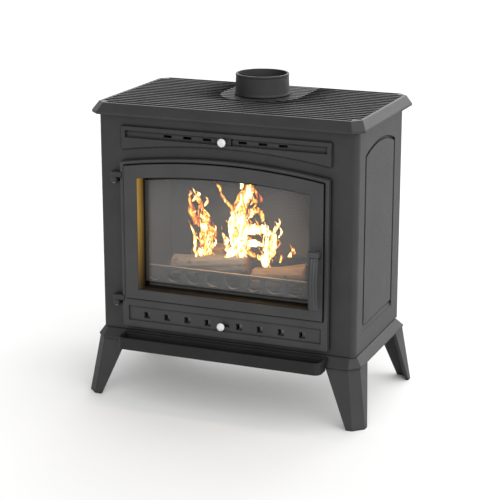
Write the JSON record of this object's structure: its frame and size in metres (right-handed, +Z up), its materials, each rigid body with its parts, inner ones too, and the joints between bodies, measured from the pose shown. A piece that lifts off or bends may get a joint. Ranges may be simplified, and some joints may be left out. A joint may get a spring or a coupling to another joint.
{
  "type": "wood burning stove",
  "caption": "Free-standing cast-iron wood burning stove with a ribbed top, rear flue collar, arched glass door, air slides, ash lip and splayed legs.",
  "frame": {"origin": "on the floor, under the middle of the whole stove's width and depth", "axes": "+Z up, the door looks along -Y, +X towards the handle side"},
  "size_m": [0.817, 0.519, 0.8846],
  "materials": {
    "cast_iron": "matt anthracite stove paint on cast iron",
    "steel": "plain steel",
    "silver_knob": "satin silver",
    "stove_glass": "clear heat-proof glass with a black border",
    "rope_seal": "braided glass-fibre rope",
    "firebrick": "vermiculite board, matt"
  },
  "bodies": {
    "body": {"top_plate": "cast_iron", "flue_collar": "cast_iron", "front_plate": "cast_iron", "side_panel_left": "cast_iron", "side_panel_right": "cast_iron", "back_panel": "cast_iron", "base_plate": "cast_iron", "leg_front_left": "cast_iron", "leg_front_right": "cast_iron", "leg_back_left": "cast_iron", "leg_back_right": "cast_iron", "leg_bolt_1": "steel", "leg_bolt_2": "steel", "leg_bolt_3": "steel", "leg_bolt_4": "steel", "ash_lip": "cast_iron", "ash_shelf": "cast_iron", "ash_pan": "steel", "hearth_plate": "cast_iron", "fire_grate": "cast_iron", "liner_left": "firebrick", "liner_right": "firebrick", "liner_back": "firebrick", "baffle": "firebrick", "log_guard": "cast_iron", "hinge_lug_lower": "cast_iron", "hinge_lug_upper": "cast_iron", "hinge_pin_lower": "steel", "hinge_pin_upper": "steel", "latch_keeper": "steel"},
    "door": {"door_frame": "cast_iron", "glass_frame": "cast_iron", "door_glass": "stove_glass", "glass_clip_1": "steel", "glass_clip_2": "steel", "glass_clip_3": "steel", "glass_clip_4": "steel", "door_rope": "rope_seal", "hinge_arm_lower": "cast_iron", "hinge_arm_upper": "cast_iron"},
    "handle": {"handle": "cast_iron", "handle_spindle": "steel", "latch_cam": "steel"},
    "upper_air_slide": {"upper_air_shutter": "steel", "upper_air_tab": "cast_iron", "upper_air_knob": "silver_knob"},
    "lower_air_slide": {"lower_air_shutter": "steel", "lower_air_stem": "steel", "lower_air_knob": "silver_knob"}
  },
  "joints": [
    {"name": "door_hinge", "type": "hinge", "parent": "body", "child": "door", "pos_m": [-0.32, -0.1925, 0.45], "axis": [0, 0, -1], "range_deg": [0, 110]},
    {"name": "handle_turn", "type": "hinge", "parent": "door", "child": "handle", "pos_m": [0.268, -0.2, 0.466], "axis": [0, 1, 0], "range_deg": [0, 75]},
    {"name": "upper_air", "type": "slide", "parent": "body", "child": "upper_air_slide", "axis": [1, 0, 0], "range_m": [-0.012, 0.012]},
    {"name": "lower_air", "type": "slide", "parent": "door", "child": "lower_air_slide", "axis": [1, 0, 0], "range_m": [-0.004, 0.013]}
  ]
}
